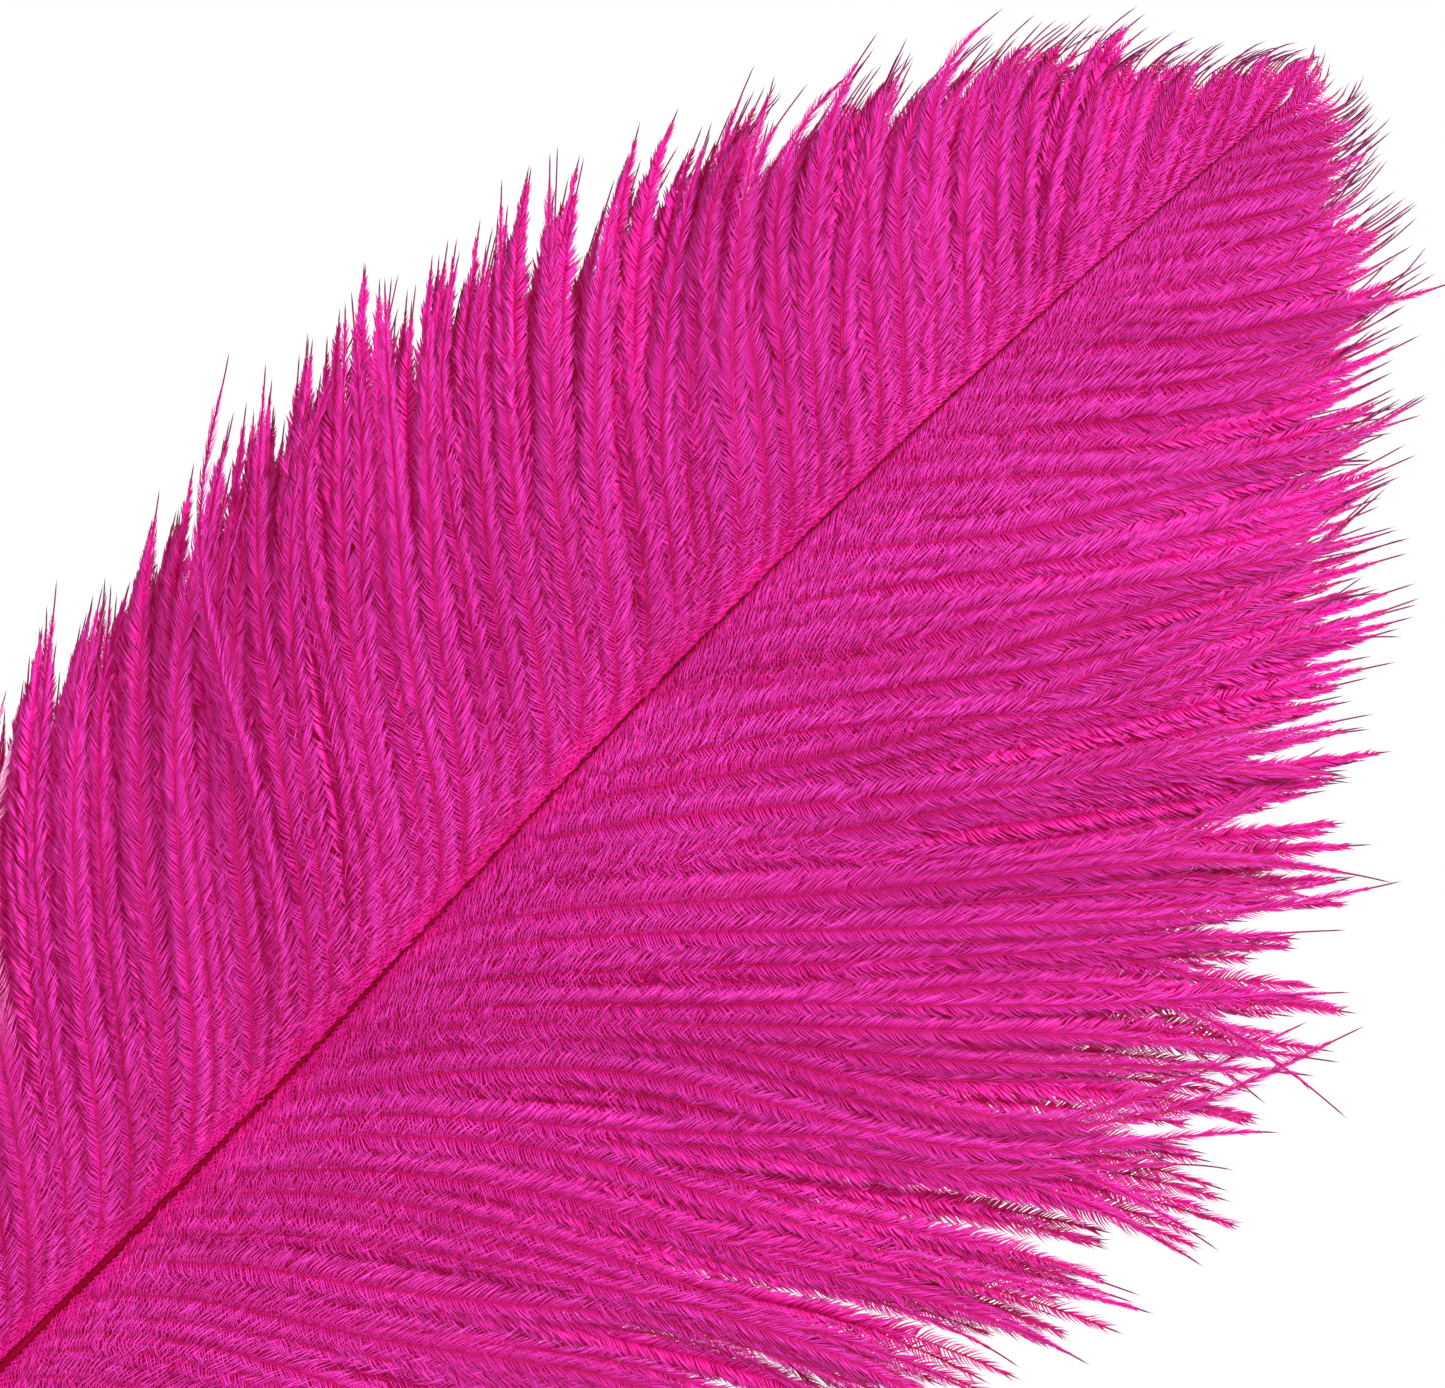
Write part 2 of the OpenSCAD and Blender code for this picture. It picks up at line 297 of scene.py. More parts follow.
def side_solids(side):
    """(node, line) of every CAD barb on one side, from the quill to the tip."""
    name = "left" if side == LEFT else "right"
    nodes = [name + "_down"] + [f"{name}_vane_{i + 1}" for i in range(VANE_ZONES)]
    solids = [(node, line) for node in nodes for line in barb_lines(node)]
    tips = sorted(barb_lines("tip_barbs"), key=lambda line: line[-1, 2])
    low, high = (pick(line[0, 2] for line in tips) for pick in (min, max))
    for line in tips:
        lean = line[-1, 0] - np.interp(line[0, 2], shaft.z, shaft.x)
        if lean * side > 0:
            gather = TUFT_GATHER * (line[0, 2] - low) / (high - low)
            gather = gather * rise(np.linspace(0, 1, LINE_POINTS), *TUFT_GATHER_FROM)[:, None]
            solids.append(("tip_barbs", line + (tips[-1] - line) * gather))
    return sorted(solids, key=lambda solid: solid[1][0, 2])


def between(solids, shares):
    """The nodes and lines of real barbs that start at shares of the way to the next CAD barb."""
    nodes, lines = [], []
    for (node, line), (_, above) in zip(solids, solids[1:] + solids[-1:]):
        for share in shares:
            nodes.append(node)
            lines.append(line * (1 - share) + above * share)
    return nodes, np.array(lines)


def rise(u, start, end):
    """A smooth step from 0 at start to 1 at end."""
    t = np.clip((u - start) / (end - start), 0, 1)
    return t * t * (3 - 2 * t)


def lock_numbers(count, rng):
    """The number of each barb's lock, and of the barb that leads it."""
    sizes = rng.choice(LOCK_SIZES, size=count)
    locks = np.repeat(np.arange(count), sizes)[:count]
    starts = np.concatenate([[0], np.cumsum(sizes)[:-1]])
    lead = np.minimum(starts + sizes // 2, count - 1)[locks]
    return locks, lead


def cross_rows(a, b):
    """The unit vectors across the rows of a and b."""
    c = np.cross(a, b)
    return c / np.maximum(np.linalg.norm(c, axis=-1, keepdims=True), 1e-9)


def axes(line, side):
    """Along a line: its direction, the way to the plume's tip in the vane, and the front."""
    along = np.gradient(line, axis=0)
    along /= np.linalg.norm(along, axis=1, keepdims=True)
    tipward = side * cross_rows(along, np.broadcast_to(-FRONT, along.shape))
    front = side * cross_rows(tipward, along)
    front *= np.sign(front @ FRONT)[:, None]
    return along, tipward, front


def fitted(line, side):
    """The line, made shorter where it would stand further out of the CAD model than OVERHANG."""
    limit = cad_bounds[side > 0][0] / MM + side * OVERHANG
    furthest = max(line[:, 0] * side) * side
    return line[0] + (line - line[0]) * min(1, (limit - line[0, 0]) / (furthest - line[0, 0]))


def dressed(node, line, side, kind, roll, reach, rng):
    """A real barb: its line at its own length, seated on the shaft, and what its barbules need."""
    fan = 1 + (side == RIGHT) * np.interp(line[0, 2], FAN_AT, FAN)
    reach = rng.uniform(*reach) * fan
    line = fitted(shaft.seat(line[0] + (line - line[0]) * reach, side, kind == "under"), side)
    length = np.linalg.norm(np.diff(line, axis=0), axis=1).sum()
    bare = np.interp(line[0, 2], BARE_AT, BARE_END) * rng.uniform(*BARE_SPREAD)
    blunt = np.interp(line[0, 2], BLUNT_AT, BLUNT) if side == RIGHT else LEFT_BLUNT
    if kind == "under":
        bare *= np.interp(blunt, [BLUNT[0], 1], UNDER_BARE)
    elif rng.random() < LONG_HAIR_SHARE:
        bare *= LONG_HAIR
    bare = min(bare, length / (TIP_BARE_PARTS if node == "tip_barbs" else BARE_PARTS))
    return {"node": node, "line": line, "side": side, "kind": kind, "roll": roll,
            "length": length, "bare": bare, "blunt": blunt}


def curl(line, side, spread, rng):
    """How far the end of a barb curls towards the tip, along its line."""
    mean = np.interp(line[0, 2], CURL_AT, LEFT_CURL if side == LEFT else RIGHT_CURL)
    u = np.linspace(0, 1, len(line))
    return rng.normal(mean, spread) * (np.maximum(u - CURL_START, 0) / (1 - CURL_START)) ** 2


def size_of(line):
    """A barb's length as a share of a long barb's, which scales how far it strays."""
    return np.linalg.norm(np.diff(line, axis=0), axis=1).sum() / LONG_LINE


def lock_habits(count, side, rng):
    """How each lock waves and swings sideways, its depth, its roll, and each tuft's wave."""
    return {"wave": rng.normal(0, LOCK_WAVE * WANDER[side], count),
            "deep": rng.normal(0, LOCK_DEPTH, count),
            "swing": rng.normal(0, LOCK_SWING * WANDER[side], count),
            "roll": rng.normal(*LOCK_ROLL, count),
            "tuft": rng.normal(0, TUFT_WAVE * WANDER[side], count // TUFT_SIZE + 2)}


def top_barbs(side, rng):
    """The barbs of the upper layer on one side, gathered in locks."""
    nodes, lines = between(side_solids(side), BARB_SHARES)
    locks, lead = lock_numbers(len(lines), rng)
    habits = lock_habits(len(lines), side, rng)
    wave, deep, swing, roll, tuft = (habits[k] for k in ("wave", "deep", "swing", "roll", "tuft"))
    u = np.linspace(0, 1, LINE_POINTS)
    spread = LEFT_SPREAD if side == LEFT else RIGHT_SPREAD
    curls = [curl(line, side, spread, rng) for line in lines]
    forward = rng.uniform(*LEAD_FORWARD, len(lines))
    barbs = []
    for i, line in enumerate(lines):
        k, leads = locks[i], lead[i] == i
        stray = rng.random() < STRAY_SHARE
        early = np.interp(line[0, 2], EVEN_AT, EVEN) if side == RIGHT else 1
        held = early * rise(u, *CLING_FROM) + (1 - early) * rise(u, *LATE_CLING_FROM)
        cling = (STRAY_CLING if stray else rng.uniform(*CLING)) * held[:, None]
        line = line + (lines[lead[i]] - line) * cling
        _, tipward, front = axes(line, side)
        sway = wave[k] * u ** 2 + swing[k] * np.sin(SWINGS * np.pi * u) * u
        sway = sway + np.interp(i / TUFT_SIZE, np.arange(len(tuft)), tuft) * u ** 2
        sway = sway + rng.normal(0, BARB_WAVE + STRAY_WAVE * stray) * u ** 1.5 + curls[lead[i]]
        sway = sway + BARB_CURL * curl(line, side, spread, rng)
        depth = deep[k] * u ** 1.3 + rng.normal(0, BARB_DEPTH) * u
        stand = forward[k] if leads else REST_FORWARD
        depth = depth + stand * rise(u, *FORWARD_FROM) * (1 - u ** 3)
        size = size_of(line)
        line = line + tipward * (sway * size)[:, None] + front * (depth * size ** 0.5)[:, None]
        barbs.append(dressed(nodes[i], line, side, "lead" if leads else "rest",
                             roll[k] + (0 if leads else rng.normal(0, BARB_ROLL)),
                             LEAD_REACH if leads else REST_REACH, rng))
    return barbs


def under_barbs(side, rng):
    """The barbs of the lower layer on one side, which fill the gaps between the locks."""
    nodes, lines = between(side_solids(side), UNDER_SHARES)
    u = np.linspace(0, 1, LINE_POINTS)
    barbs = []
    for node, line in zip(nodes, lines):
        _, tipward, front = axes(line, side)
        size = size_of(line)
        sway = (rng.normal(0, UNDER_WAVE) * u ** 1.5 + curl(line, side, UNDER_SPREAD, rng)) * size
        depth = -rng.uniform(*UNDER_DEPTH) * rise(u, *UNDER_DEPTH_FROM) * size ** 0.5
        line = line + tipward * sway[:, None] + front * depth[:, None]
        barbs.append(dressed(node, line, side, "under", rng.normal(0, UNDER_ROLL),
                             UNDER_REACH, rng))
    return barbs


# ---- barbs as meshes ----

def turned(a, b, degrees):
    """The pair of directions a, b turned in their own plane."""
    c, s = np.cos(np.radians(degrees)), np.sin(np.radians(degrees))
    return a * c + b * s, b * c - a * s


def at_share(values, share):
    """Rows of values, given at even shares of a line, read at the shares asked for."""
    even = np.linspace(0, 1, len(values))
    return np.stack([np.interp(share, even, values[:, k]) for k in range(values.shape[1])], axis=1)


def stem(barb, strip):
    """The stem of a barb: rings of four points and one end point."""
    line, length = barb["line"], barb["length"]
    rings = max(int(length / STEM_STEP), STEM_RINGS)
    u = np.linspace(0, 1, rings + 1)
    middle = at_share(line, u)
    _, tipward, front = axes(middle, barb["side"])
    marks = mark(u * length, barb)
    radius = np.interp(marks, STEM_AT, STEM_RADIUS)
    turn = 2 * np.pi * np.arange(STEM_SIDES) / STEM_SIDES
    out = (tipward[:-1, None] * np.cos(turn)[:, None]
           + front[:-1, None] * np.sin(turn)[:, None])
    points = middle[:-1, None] + radius[:-1, None, None] * out
    points = np.concatenate([points.reshape(-1, 3), middle[-1:]])
    k, i = np.meshgrid(np.arange(rings - 1), np.arange(STEM_SIDES), indexing="ij")
    a, b = k * STEM_SIDES + i, k * STEM_SIDES + (i + 1) % STEM_SIDES
    quads = np.stack([a, b, b + STEM_SIDES, a + STEM_SIDES], axis=-1).reshape(-1, 4)
    last = (rings - 1) * STEM_SIDES + np.arange(STEM_SIDES)
    ends = np.stack([last, np.roll(last, -1), np.full(STEM_SIDES, len(points) - 1)], axis=1)
    flip = barb["side"] == LEFT
    across = np.tile(0.5 + STEM_STRIP * np.cos(turn), rings)
    uv = np.stack([np.append(np.repeat(marks[:-1], STEM_SIDES), 1),
                   (strip + np.append(across, 0.5)) / STRIPS], axis=1)
    cap = np.arange(STEM_SIDES)[::-1][None, :]
    faces = [quads, cap, ends]
    return points, [f[:, ::-1] if flip else f for f in faces], uv


def ripple(at, size, rng):
    """Random values that change slowly along the distances at."""
    knots = np.arange(0, at.max() + 2 * RIPPLE_STEP, RIPPLE_STEP)
    return np.interp(at, knots, rng.normal(0, size, len(knots)))


def blunt_pair(barb, pair):
    """What a pair of values, for the bluntest barbs and for full ones, comes to for this barb."""
    return np.interp(barb["blunt"], [BLUNT[0], 1], pair)


def barbule_reach(barb, far, rng):
    """The length of the barbules of one row, at distances far along their barb."""
    length, under = barb["length"], barb["kind"] == "under"
    reach = np.interp(far, ROOT_AT, ROOT_LENGTH) * min(1, (length / FULL_BARB) ** 0.5)
    left = (length - far - barb["bare"]) / min(1, length / TAPER_BARB)
    taper = np.interp(left, END_AT, END_SHARE)
    taper = taper ** (barb["blunt"] if under else max(barb["blunt"], TOP_BLUNT))
    reach *= np.maximum(taper, blunt_pair(barb, UNDER_END)) if under else taper
    reach *= rng.uniform(*LENGTH_SPREAD, len(far)) * (1 + ripple(far, LENGTH_RIPPLE, rng))
    return reach


def barbule_angle(barb, far, rng):
    """Their angle to the stem."""
    share = far / barb["length"]
    angle = np.interp(share, ALONG, BARBULE_ANGLE[barb["side"]])
    if barb["kind"] == "under":
        wider = BLUNT_ANGLE * (1 - barb["blunt"]) / (1 - BLUNT[0])
        angle = angle + wider * rise(share, *BLUNT_ANGLE_FROM)
        wide_to = blunt_pair(barb, UNDER_WIDE)
        angle = np.maximum(angle, UNDER_ANGLE * (1 - rise(share, wide_to, 1)))
    angle += rng.normal(0, ANGLE_SPREAD, len(far)) + ripple(far, ANGLE_RIPPLE, rng)
    return angle


def barbule_width(barb, share, reach):
    """Their width, at shares of the barb's length."""
    under = barb["kind"] == "under"
    width = WIDTH[barb["kind"]] * np.interp(share, OUTER_WIDTH_FROM,
                                            [1, 1 if under else OUTER_WIDTH])
    if under:
        width *= np.interp(share, GAUZE_FROM, [1, blunt_pair(barb, GAUZE)])
    return np.minimum(width, SHORT_WIDTH[barb["kind"]] * reach)[:, None]


def barbules(barb, strip, rng):
    """Both rows of a barb's barbules: seven points each, closed, bent once."""
    line, side, under = barb["line"], barb["side"], barb["kind"] == "under"
    pitch = PITCH[barb["kind"]] * 1
    count = int((barb["length"] - barb["bare"]) / pitch)
    along, tipward, front = axes(line, side)
    tipward, front = turned(tipward, front, barb["roll"])
    parts = []
    for row in (1, -1):
        apart = rng.uniform(-PITCH_SPREAD, PITCH_SPREAD, count)
        far = (np.arange(count) + apart + 0.5) * pitch
        share = far / barb["length"]
        at = at_share(line, share)
        t, s, n = (at_share(v, share) for v in (along, tipward, front))
        reach = barbule_reach(barb, far, rng)
        angle = barbule_angle(barb, far, rng)
        if row > 0:
            inward = np.sin(np.radians(np.maximum(angle - ROOT_LEAN, LEAST_ANGLE)))
            reach = np.minimum(reach, shaft.room(at, under) / inward)
        lift = LIFT * rise(far, *LIFT_FROM) if row > 0 and not under else LOW_LIFT
        raise_by = lift + rng.normal(0, RAISE_SPREAD, count) + ripple(far, RAISE_RIPPLE, rng)
        fall_by = raise_by - FALL + rng.normal(0, FALL_SPREAD, count)
        width = barbule_width(barb, share, reach)
        parts.append(bent_prisms(at, t, row * s, n, reach, angle, raise_by, fall_by, width)
                     + (barbule_uv(far, barb, strip, row),))
    return parts


def mark(far, barb):
    """Marks along a barb: 0 at the root, BARE_MARK where the bare end starts, 1 at the end."""
    return np.interp(far, [0, barb["length"] - barb["bare"], barb["length"]], [0, BARE_MARK, 1])


def barbule_uv(far, barb, strip, row):
    """A barbule's own patch of its barb's strip: from the strip's middle out to its edge."""
    wide = np.array([-1, 1, 0, -1, 1, 0, 0]) * PITCH["lead"] / 2
    u = mark(far[:, None] + wide, barb)
    v = np.broadcast_to((strip + 0.5 + row * BARBULE_STRIP) / STRIPS, u.shape)
    return np.stack([u, v], axis=-1).reshape(-1, 2)


def heading(t, s, n, angle, lift):
    """The direction at an angle from t towards s, lifted towards n."""
    angle, lift = np.radians(angle)[:, None], np.radians(lift)[:, None]
    return t * np.cos(angle) + np.sin(angle) * (s * np.cos(lift) + n * np.sin(lift))


def bent_prisms(at, t, s, n, reach, angle, raise_by, fall_by, width):
    """Closed three-sided prisms that start at the points at and bend once on their way."""
    first = heading(t, s, n, angle, raise_by)
    second = heading(t, s, n, angle * SECOND_ANGLE, fall_by)
    middle = at + first * (reach * FIRST_PART)[:, None]
    count = len(at)
    points = np.empty((count, 7, 3))
    ends = ((0, at, first, width), (3, middle, second, SECOND_WIDTH * width))
    for base, where, way, wide in ends:
        side = cross_rows(n, way)
        points[:, base] = where - side * wide / 2
        points[:, base + 1] = where + side * wide / 2
        points[:, base + 2] = where + cross_rows(way, side) * wide * BARBULE_THICK
    points[:, 6] = middle + second * (reach * (1 - FIRST_PART))[:, None]
    start = np.arange(count)[:, None] * 7
    around = ((0, 1), (1, 2), (2, 0))
    quads = np.concatenate([start + [a, b, b + 3, a + 3] for a, b in around])
    tris = np.concatenate([start + [2, 1, 0]] + [start + [a + 3, b + 3, 6] for a, b in around])
    return points.reshape(-1, 3), [quads, tris]


def build_mesh(name, parts):
    """One mesh from many parts of points, faces and UVs."""
    points, uvs, loops, sizes, base = [], [], [], [], 0
    for part_points, faces, uv in parts:
        points.append(part_points)
        uvs.append(uv)
        for face in faces:
            loops.append((face + base).ravel())
            sizes.append(np.full(len(face), face.shape[1]))
        base += len(part_points)
    points, uvs = np.concatenate(points) * MM, np.concatenate(uvs)
    loops, sizes = np.concatenate(loops), np.concatenate(sizes)
    mesh = bpy.data.meshes.new(name)
    mesh.vertices.add(len(points))
    mesh.vertices.foreach_set("co", points.ravel().astype(np.float32))
    mesh.loops.add(len(loops))
    mesh.loops.foreach_set("vertex_index", loops.astype(np.int32))
    mesh.polygons.add(len(sizes))
    mesh.polygons.foreach_set("loop_start", (np.cumsum(sizes) - sizes).astype(np.int32))
    layer = mesh.uv_layers.new(name="OFBake")
    layer.uv.foreach_set("vector", uvs[loops].ravel().astype(np.float32))
    mesh.update(calc_edges=True)
    mesh.shade_smooth()
    return mesh


def add_piece(name, mesh, material):
    """A visible piece that moves with the only body."""
    piece = bpy.data.objects.new(name, mesh)
    bpy.context.scene.collection.objects.link(piece)
    mesh.materials.append(material)
    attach(piece, "root")
    return piece


def nearest_to(barbs, places):
    """The barb that passes closest to some places in the vane."""
    return min(barbs, key=lambda barb: sum(
        np.hypot(barb["line"][:, 0] - x, barb["line"][:, 2] - z).min() for x, z in places))


def make_vanes(materials):
    """Every barb, layer by layer, with one piece for each layer of each CAD node."""
    rng = np.random.default_rng(SEED)
    layers = {"top": [], "under": [], "pale": []}
    for side in (LEFT, RIGHT):
        layers["top"] += top_barbs(side, rng)
        layers["under"] += under_barbs(side, rng)
    for aside in PALE_ASIDE:
        barb = nearest_to(layers["top"], PALE_PATH + aside)
        layers["top"] = [other for other in layers["top"] if other is not barb]
        lift = PALE_LIFT * rise(np.linspace(0, 1, LINE_POINTS), *PALE_LIFT_FROM)
        layers["pale"].append({**barb, "line": barb["line"] + lift[:, None] * FRONT})
    for layer, barbs in layers.items():
        for node in dict.fromkeys(barb["node"] for barb in barbs):
            parts = []
            for strip, barb in enumerate(b for b in barbs if b["node"] == node):
                parts.append(stem(barb, strip))
                parts += barbules(barb, strip, rng)
            name = f"{node}_{layer}"
            piece = add_piece(name, build_mesh(name, parts), materials[layer])
            if layer == "top":
                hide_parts(node)


# ---- materials ----

def new_material(name, colour, roughness):
    """A material, its node tree and its shader."""
    material = bpy.data.materials.new(name)
    material.use_nodes = True
    shader = material.node_tree.nodes["Principled BSDF"]
    shader.inputs["Base Color"].default_value = (*colour, 1)
    shader.inputs["Roughness"].default_value = roughness
    return material, material.node_tree, shader


def node_of(tree, kind, **values):
    """A new node with values for its settings or, where it has no such setting, its sockets."""
    node = tree.nodes.new(kind)
    for key, value in values.items():
        if hasattr(node, key):
            setattr(node, key, value)
        else:
            node.inputs[key.replace("_", " ")].default_value = value
    return node


def ramp_of(tree, source, stops):
    """The colour that a ramp of stops gives for a source."""
    ramp = tree.nodes.new("ShaderNodeValToRGB")
    tree.links.new(source, ramp.inputs["Fac"])
    elements = ramp.color_ramp.elements
    while len(elements) < len(stops):
        elements.new(0.5)
    for element, (at, colour) in zip(elements, stops):
        element.position = at
        element.color = (*colour, 1)
    return ramp.outputs["Color"]


def math_of(tree, operation, a, b=None):
    """The outcome of a sum on sockets or numbers."""
    node = tree.nodes.new("ShaderNodeMath")
    node.operation = operation
    for socket, value in zip(node.inputs, (a, b)):
        if value is None:
            continue
        if isinstance(value, (int, float)):
            socket.default_value = value
        else:
            tree.links.new(value, socket)
    return node.outputs[0]


def mixed(tree, factor, a, b, blend="MIX"):
    """Two colours mixed, where each value is a socket, a number or a colour."""
    node = tree.nodes.new("ShaderNodeMix")
    node.data_type = "RGBA"
    node.blend_type = blend
    for socket, value in ((node.inputs[0], factor), (node.inputs[6], a), (node.inputs[7], b)):
        if isinstance(value, (int, float)):
            socket.default_value = value
        elif isinstance(value, tuple):
            socket.default_value = (*value, 1)
        else:
            tree.links.new(value, socket)
    return node.outputs[2]


def times(tree, colour, other):
    """A colour darkened by another one."""
    return mixed(tree, 1.0, colour, other, "MULTIPLY")


def object_place(tree):
    """The place in the object, in metres."""
    return tree.nodes.new("ShaderNodeTexCoord").outputs["Object"]


def dye_with_painted_highlight(tree, mark_at, across, pale):
    """The dye, with a painted highlight at the barbules' ends, by the place in a barb's strip: its
    mark along the barb, and how far across.
    """
    aside = math_of(tree, "ABSOLUTE", math_of(tree, "SUBTRACT", across, 0.5))
    reach = math_of(tree, "MULTIPLY", aside, 2)
    # paler, lilac barbule ends: partly the barbules' own paler ends, partly a painted highlight
    dye_and_painted_light = ramp_of(tree, reach, [(0.0, (0.45, 0.001, 0.09)), (0.065, (0.48, 0.001, 0.10)),
                                (0.08, (0.84, 0.008, 0.42)), (1.0, (0.95, 0.13, 0.86))])
    if pale:
        dye_and_painted_light = mixed(tree, ramp_of(tree, mark_at, [(0.4, BLACK), (0.62, WHITE)]), dye_and_painted_light, pale)
    root = ramp_of(tree, mark_at, [(0.015, WHITE), (0.06, BLACK)])
    return mixed(tree, root, dye_and_painted_light, (0.84, 0.008, 0.40))


def barbule_tone(tree, mark_at, row):
    """Changes of tone from one bunch of barbules to the next."""
    cell = tree.nodes.new("ShaderNodeCombineXYZ")
    tree.links.new(math_of(tree, "MULTIPLY", mark_at, BARBULE_TONES), cell.inputs["X"])
    tree.links.new(math_of(tree, "FLOOR", row), cell.inputs["Y"])
    tone = node_of(tree, "ShaderNodeTexNoise", Scale=1.0, Detail=1.0)
    tree.links.new(cell.outputs[0], tone.inputs["Vector"])
    return ramp_of(tree, tone.outputs["Fac"], [(0.38, (0.60, 0.20, 0.46)), (0.62, WHITE)])


def barb_tone(tree, row):
    """A tone for each barb."""
    own = node_of(tree, "ShaderNodeTexWhiteNoise", noise_dimensions="1D")
    tree.links.new(math_of(tree, "FLOOR", row), own.inputs["W"])
    return ramp_of(tree, own.outputs["Value"], [(0.0, (0.84, 0.6, 0.74)), (0.7, WHITE)])


def patch_tone(tree):
    """Wide, soft patches where the dye took more or less well."""
    cloud = node_of(tree, "ShaderNodeTexNoise", Scale=38.0, Detail=3.0)
    tree.links.new(object_place(tree), cloud.inputs["Vector"])
    return ramp_of(tree, cloud.outputs["Fac"], [(0.3, (0.88, 0.7, 0.84)), (0.7, WHITE)])


def feather_material(name, depth, pale=None):
    """Dyed barbs: deeper at the stem and the bare end, paler at the barbules' ends, partly as a
    painted highlight; depth is a painted shade for a layer that lies in shade, and the emission a
    painted glow.
    """
    material, tree, shader = new_material(name, (0.9, 0.01, 0.33), 0.42)
    uv = node_of(tree, "ShaderNodeUVMap", uv_map="OFBake")
    split = tree.nodes.new("ShaderNodeSeparateXYZ")
    tree.links.new(uv.outputs[0], split.inputs[0])
    mark_at = split.outputs["X"]
    row = math_of(tree, "MULTIPLY", split.outputs["Y"], STRIPS)
    dye_and_painted_light = dye_with_painted_highlight(tree, mark_at, math_of(tree, "FRACT", row), pale)
    # painted shade: depth darkens and reddens the whole of a layer that lies in shade under the
    # others
    dye_and_painted_light = times(tree, dye_and_painted_light, depth)
    dye_and_painted_light = times(tree, dye_and_painted_light, ramp_of(tree, mark_at, [(0.0, (0.93, 0.8, 0.86)), (0.1, WHITE)]))
    end = ramp_of(tree, mark_at, [(BARE_MARK - 0.01, BLACK), (BARE_MARK + 0.05, WHITE)])
    dye_and_painted_light = mixed(tree, end, dye_and_painted_light, (0.13, 0.0, 0.12))
    for tone in (barbule_tone(tree, mark_at, row), barb_tone(tree, row), patch_tone(tree)):
        dye_and_painted_light = times(tree, dye_and_painted_light, tone)
    tree.links.new(dye_and_painted_light, shader.inputs["Base Color"])
    # painted glow: a crimson emission in place of light coming through the barbs
    shader.inputs["Emission Color"].default_value = (1.0, 0.0, 0.02, 1)
    shader.inputs["Emission Strength"].default_value = PAINTED_GLOW
    shader.inputs["Specular IOR Level"].default_value = 0.25
    shader.inputs["Specular Tint"].default_value = (1.0, 0.55, 1.0, 1)
    shader.inputs["Sheen Weight"].default_value = 0.1
    shader.inputs["Sheen Roughness"].default_value = 0.4
    shader.inputs["Sheen Tint"].default_value = (1.0, 0.25, 0.9, 1)
    return material


def horn_material(name, colour, streak, scale):
    """Dyed horn: lengthwise streaks, a low gloss and fine grooves."""
    material, tree, shader = new_material(name, colour, 0.45)
    stretch = tree.nodes.new("ShaderNodeMapping")
    stretch.inputs["Scale"].default_value = (scale, scale, scale * STREAK)
    tree.links.new(object_place(tree), stretch.inputs["Vector"])
    grain = node_of(tree, "ShaderNodeTexNoise", Scale=1.0, Detail=5.0)
    tree.links.new(stretch.outputs[0], grain.inputs["Vector"])
    tone = ramp_of(tree, grain.outputs["Fac"], [(0.35, streak), (0.65, colour)])
    tree.links.new(tone, shader.inputs["Base Color"])
    bump = node_of(tree, "ShaderNodeBump", Strength=0.25, Distance=0.00005)
    tree.links.new(grain.outputs["Fac"], bump.inputs["Height"])
    tree.links.new(bump.outputs[0], shader.inputs["Normal"])
    shader.inputs["Specular IOR Level"].default_value = 0.15
    shader.inputs["Specular Tint"].default_value = (1.0, 0.2, 0.3, 1)
    return material


def pith_material():
    """Matt, foamy pith with small cells, pink from the dye."""
    material, tree, shader = new_material("pith", (0.85, 0.45, 0.55), 0.9)
    cells = node_of(tree, "ShaderNodeTexVoronoi", Scale=4000.0)
    tree.links.new(object_place(tree), cells.inputs["Vector"])
    tone = ramp_of(tree, cells.outputs["Distance"],
                   [(0.0, (0.9, 0.55, 0.65)), (0.8, (0.7, 0.3, 0.42))])
    tree.links.new(tone, shader.inputs["Base Color"])
    return material


def dress_cad():
    """Materials for the nodes that keep their CAD shape."""
    quill = horn_material("horn_quill", (0.55, 0.02, 0.14), (0.36, 0.005, 0.07), 2500)
    skin = horn_material("horn_shaft", (0.22, 0.0, 0.018), (0.12, 0.0, 0.006), 3500)
    pith = pith_material()
    for node, material in (("calamus", quill), ("rachis_cortex", skin), ("pith_caps", pith),
                           ("rachis_medulla", pith)):
        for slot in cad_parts[node].material_slots:
            slot.material = material


# ---- studio ----

VIEW_WIDTH = 0.1927         # width of the picture at the plume, in metres
VIEW_DISTANCE = 1.4
VIEW_ROLL = 44.8            # how far the camera is rolled, so the plume lies across the picture
VIEW_HEIGHT = 236.6 / 355.6     # the picture's centre as a share of the plume's height
VIEW_ASIDE, VIEW_DEPTH = 5.1, 7.6   # and how far it is to the right, and to the back
SENSOR = 36.0
FILL = 0.42                 # strength of the soft light from all round
LIT = (0, 0, 0.2)           # where the lights point, in metres
FLOOR_HALF, FLOOR_HEIGHT = 0.6, -0.0002     # in metres
FLOOR_FADE = 0.22, 0.55     # distances over which the floor fades into the white around it


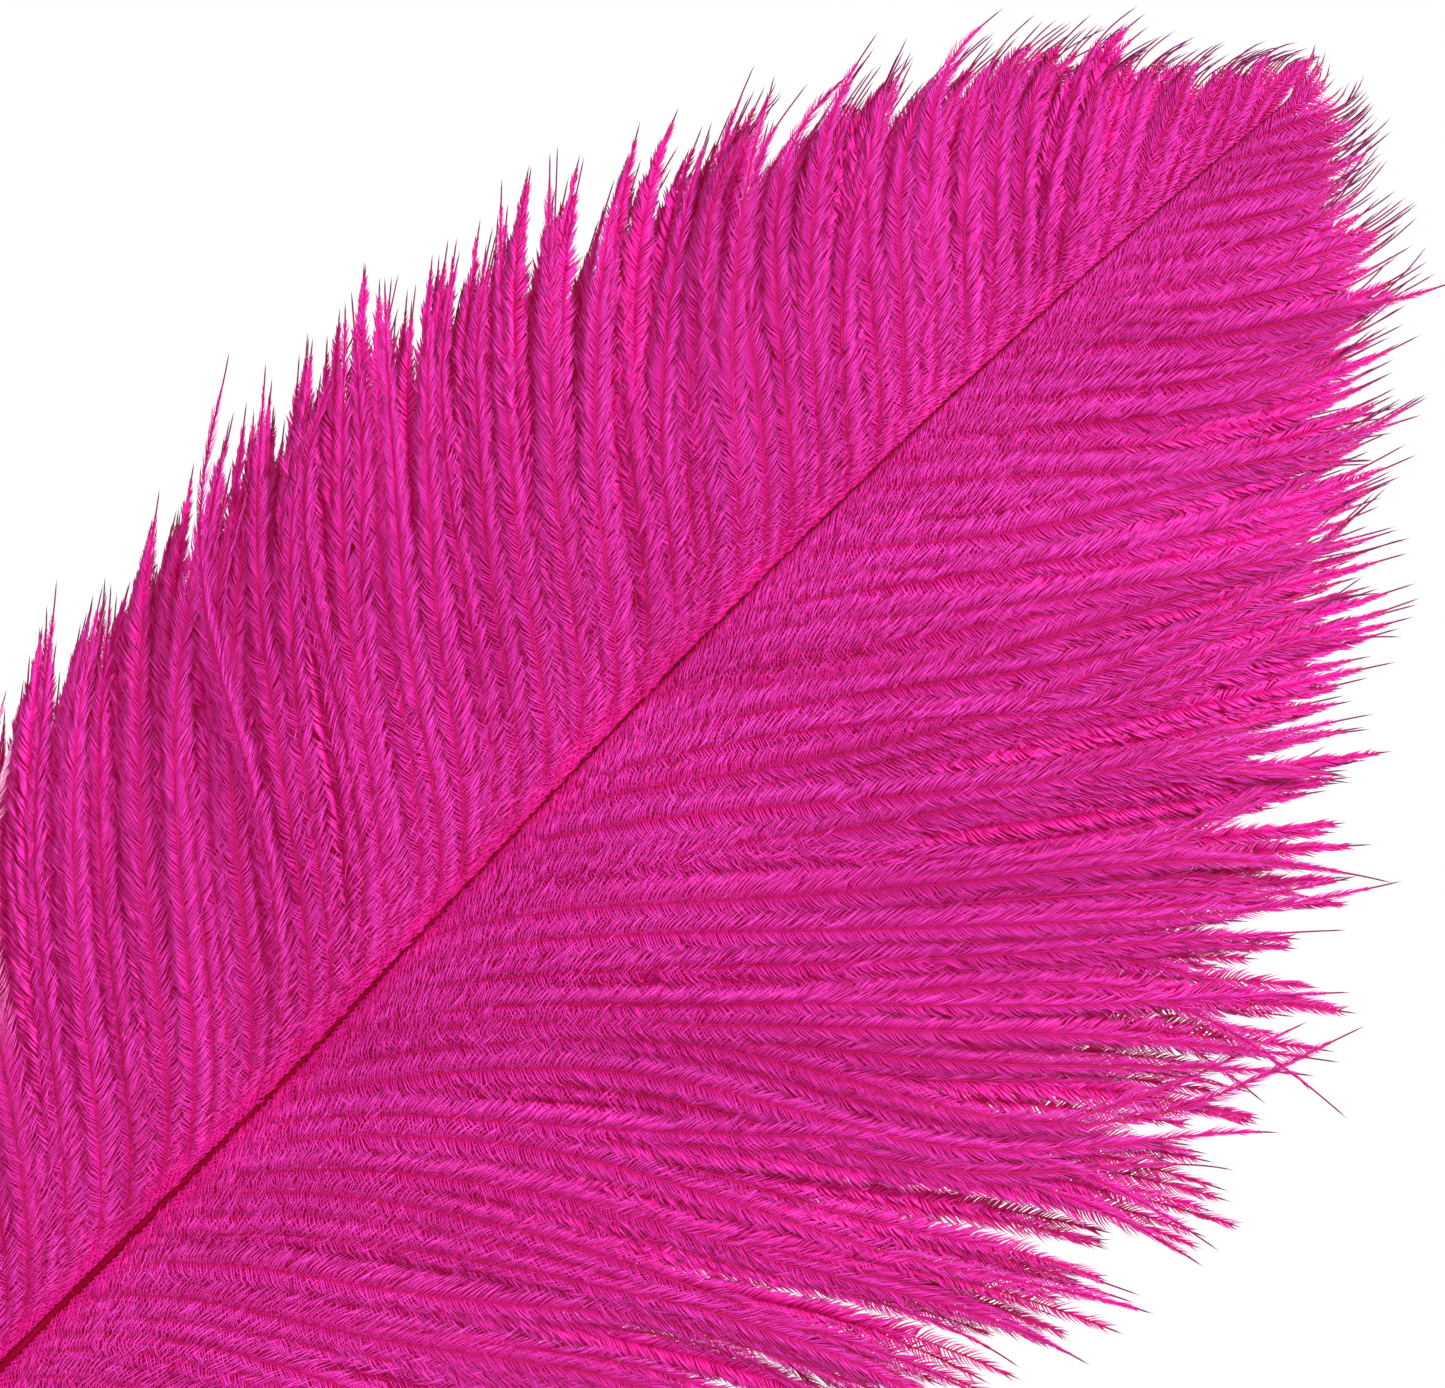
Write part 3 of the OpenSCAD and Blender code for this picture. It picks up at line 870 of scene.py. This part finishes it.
def add_camera():
    """A camera square to the plume's front, rolled as the photo shows it."""
    data = bpy.data.cameras.new("camera")
    data.sensor_fit = "HORIZONTAL"
    data.sensor_width = SENSOR
    data.lens = SENSOR * VIEW_DISTANCE / VIEW_WIDTH
    data.clip_start, data.clip_end = 0.01, 20
    camera = bpy.data.objects.new("camera", data)
    roll = np.radians(VIEW_ROLL)
    right = Vector((np.cos(roll), 0, np.sin(roll)))
    up = Vector((-np.sin(roll), 0, np.cos(roll)))
    back = right.cross(up)
    turn = Matrix((right, up, back)).transposed().to_4x4()
    centre = Vector((VIEW_ASIDE * MM, VIEW_DEPTH * MM, cad_bounds[1][2] * VIEW_HEIGHT))
    camera.matrix_world = Matrix.Translation(centre + back * VIEW_DISTANCE) @ turn
    bpy.context.scene.collection.objects.link(camera)
    bpy.context.scene.camera = camera


def add_area(name, place, size, power):
    """A round soft light that points at LIT."""
    data = bpy.data.lights.new(name, "AREA")
    data.shape = "DISK"
    data.size = size
    data.energy = power
    light = bpy.data.objects.new(name, data)
    light.location = place
    light.rotation_euler = (Vector(LIT) - Vector(place)).to_track_quat("-Z", "Y").to_euler()
    bpy.context.scene.collection.objects.link(light)


def add_world():
    """A white backdrop, and a dimmer fill for what it lights."""
    world = bpy.data.worlds.new("studio")
    bpy.context.scene.world = world
    world.use_nodes = True
    tree = world.node_tree
    backdrop = tree.nodes["Background"]
    backdrop.inputs["Color"].default_value = (1, 1, 1, 1)
    fill = tree.nodes.new("ShaderNodeBackground")
    fill.inputs["Strength"].default_value = FILL
    seen = tree.nodes.new("ShaderNodeLightPath")
    mix = tree.nodes.new("ShaderNodeMixShader")
    tree.links.new(seen.outputs["Is Camera Ray"], mix.inputs[0])
    tree.links.new(fill.outputs[0], mix.inputs[1])
    tree.links.new(backdrop.outputs[0], mix.inputs[2])
    tree.links.new(mix.outputs[0], tree.nodes["World Output"].inputs["Surface"])


def add_floor():
    """A pale floor that fades into the white around it."""
    s, z = FLOOR_HALF, FLOOR_HEIGHT
    mesh = bpy.data.meshes.new("floor")
    mesh.from_pydata([(-s, -s, z), (s, -s, z), (s, s, z), (-s, s, z)], [], [(0, 1, 2, 3)])
    material, tree, shader = new_material("floor", (0.9, 0.9, 0.9), 0.8)
    away = node_of(tree, "ShaderNodeVectorMath", operation="LENGTH")
    tree.links.new(object_place(tree), away.inputs[0])
    near, far = FLOOR_FADE
    fade = ramp_of(tree, away.outputs["Value"], [(near, WHITE), (far, BLACK)])
    tree.links.new(fade, shader.inputs["Alpha"])
    mesh.materials.append(material)
    floor = bpy.data.objects.new("floor", mesh)
    bpy.context.scene.collection.objects.link(floor)


def add_studio():
    """The white world, three soft lights and the floor."""
    add_world()
    add_area("key", (0.35, -0.75, 1.0), 0.3, 19.2)
    add_area("side", (-0.9, -0.8, 0.3), 0.6, 4.5)
    add_area("back", (0.5, 1.0, 0.7), 0.6, 10.0)
    add_floor()


bpy.context.scene.view_settings.view_transform = "Standard"
add_camera()
add_studio()
dress_cad()
make_vanes({"top": feather_material("dyed_barbs", WHITE),
            # the lower layer gets a painted shade, darker and redder than the upper one
            "under": feather_material("dyed_barbs_low_painted_shade", (0.96, 0.65, 0.8)),
            "pale": feather_material("pale_barbs", WHITE, (0.95, 0.62, 0.78))})
